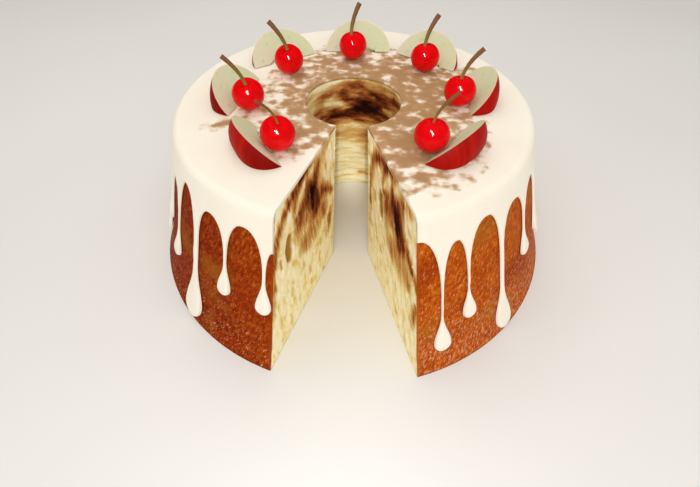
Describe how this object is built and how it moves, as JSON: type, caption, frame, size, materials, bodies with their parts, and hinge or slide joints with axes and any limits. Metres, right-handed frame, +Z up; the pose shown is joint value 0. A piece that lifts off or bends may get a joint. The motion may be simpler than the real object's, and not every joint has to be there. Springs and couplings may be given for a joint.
{
  "type": "apple cinnamon ring cake with a slice cut out",
  "caption": "Ring coffee cake, wide at the foot, with a slice cut out of the front, dripping icing on top, and a ring of apple wedges with stemmed cherries.",
  "frame": {"origin": "middle of the whole's footprint, on the surface it stands on; the ring's own axis is 3.1 mm from it towards -Y", "axes": "+Z up out of the cake, -Y towards the cut-out slice, +X to the right when facing the cut"},
  "size_m": [0.254, 0.2478, 0.1214],
  "materials": {
    "sponge": "baked sponge, brown crust outside and pale yellow crumb with cinnamon marbling at the cut",
    "icing": "smooth set vanilla icing, dusted with cinnamon",
    "apple": "red skin and pale green flesh",
    "cherry": "glossy syrup-soaked cherry",
    "stem": "dry brown stalk, olive at its root"
  },
  "bodies": {
    "root": {"cake": "sponge", "icing": "icing", "apple_wedge_1": "apple", "apple_wedge_2": "apple", "apple_wedge_3": "apple", "apple_wedge_4": "apple", "apple_wedge_5": "apple", "apple_wedge_6": "apple", "apple_wedge_7": "apple", "cherry_1": "cherry", "cherry_2": "cherry", "cherry_3": "cherry", "cherry_4": "cherry", "cherry_5": "cherry", "cherry_6": "cherry", "cherry_7": "cherry", "cherry_stem_1": "stem", "cherry_stem_2": "stem", "cherry_stem_3": "stem", "cherry_stem_4": "stem", "cherry_stem_5": "stem", "cherry_stem_6": "stem", "cherry_stem_7": "stem"}
  },
  "joints": []
}
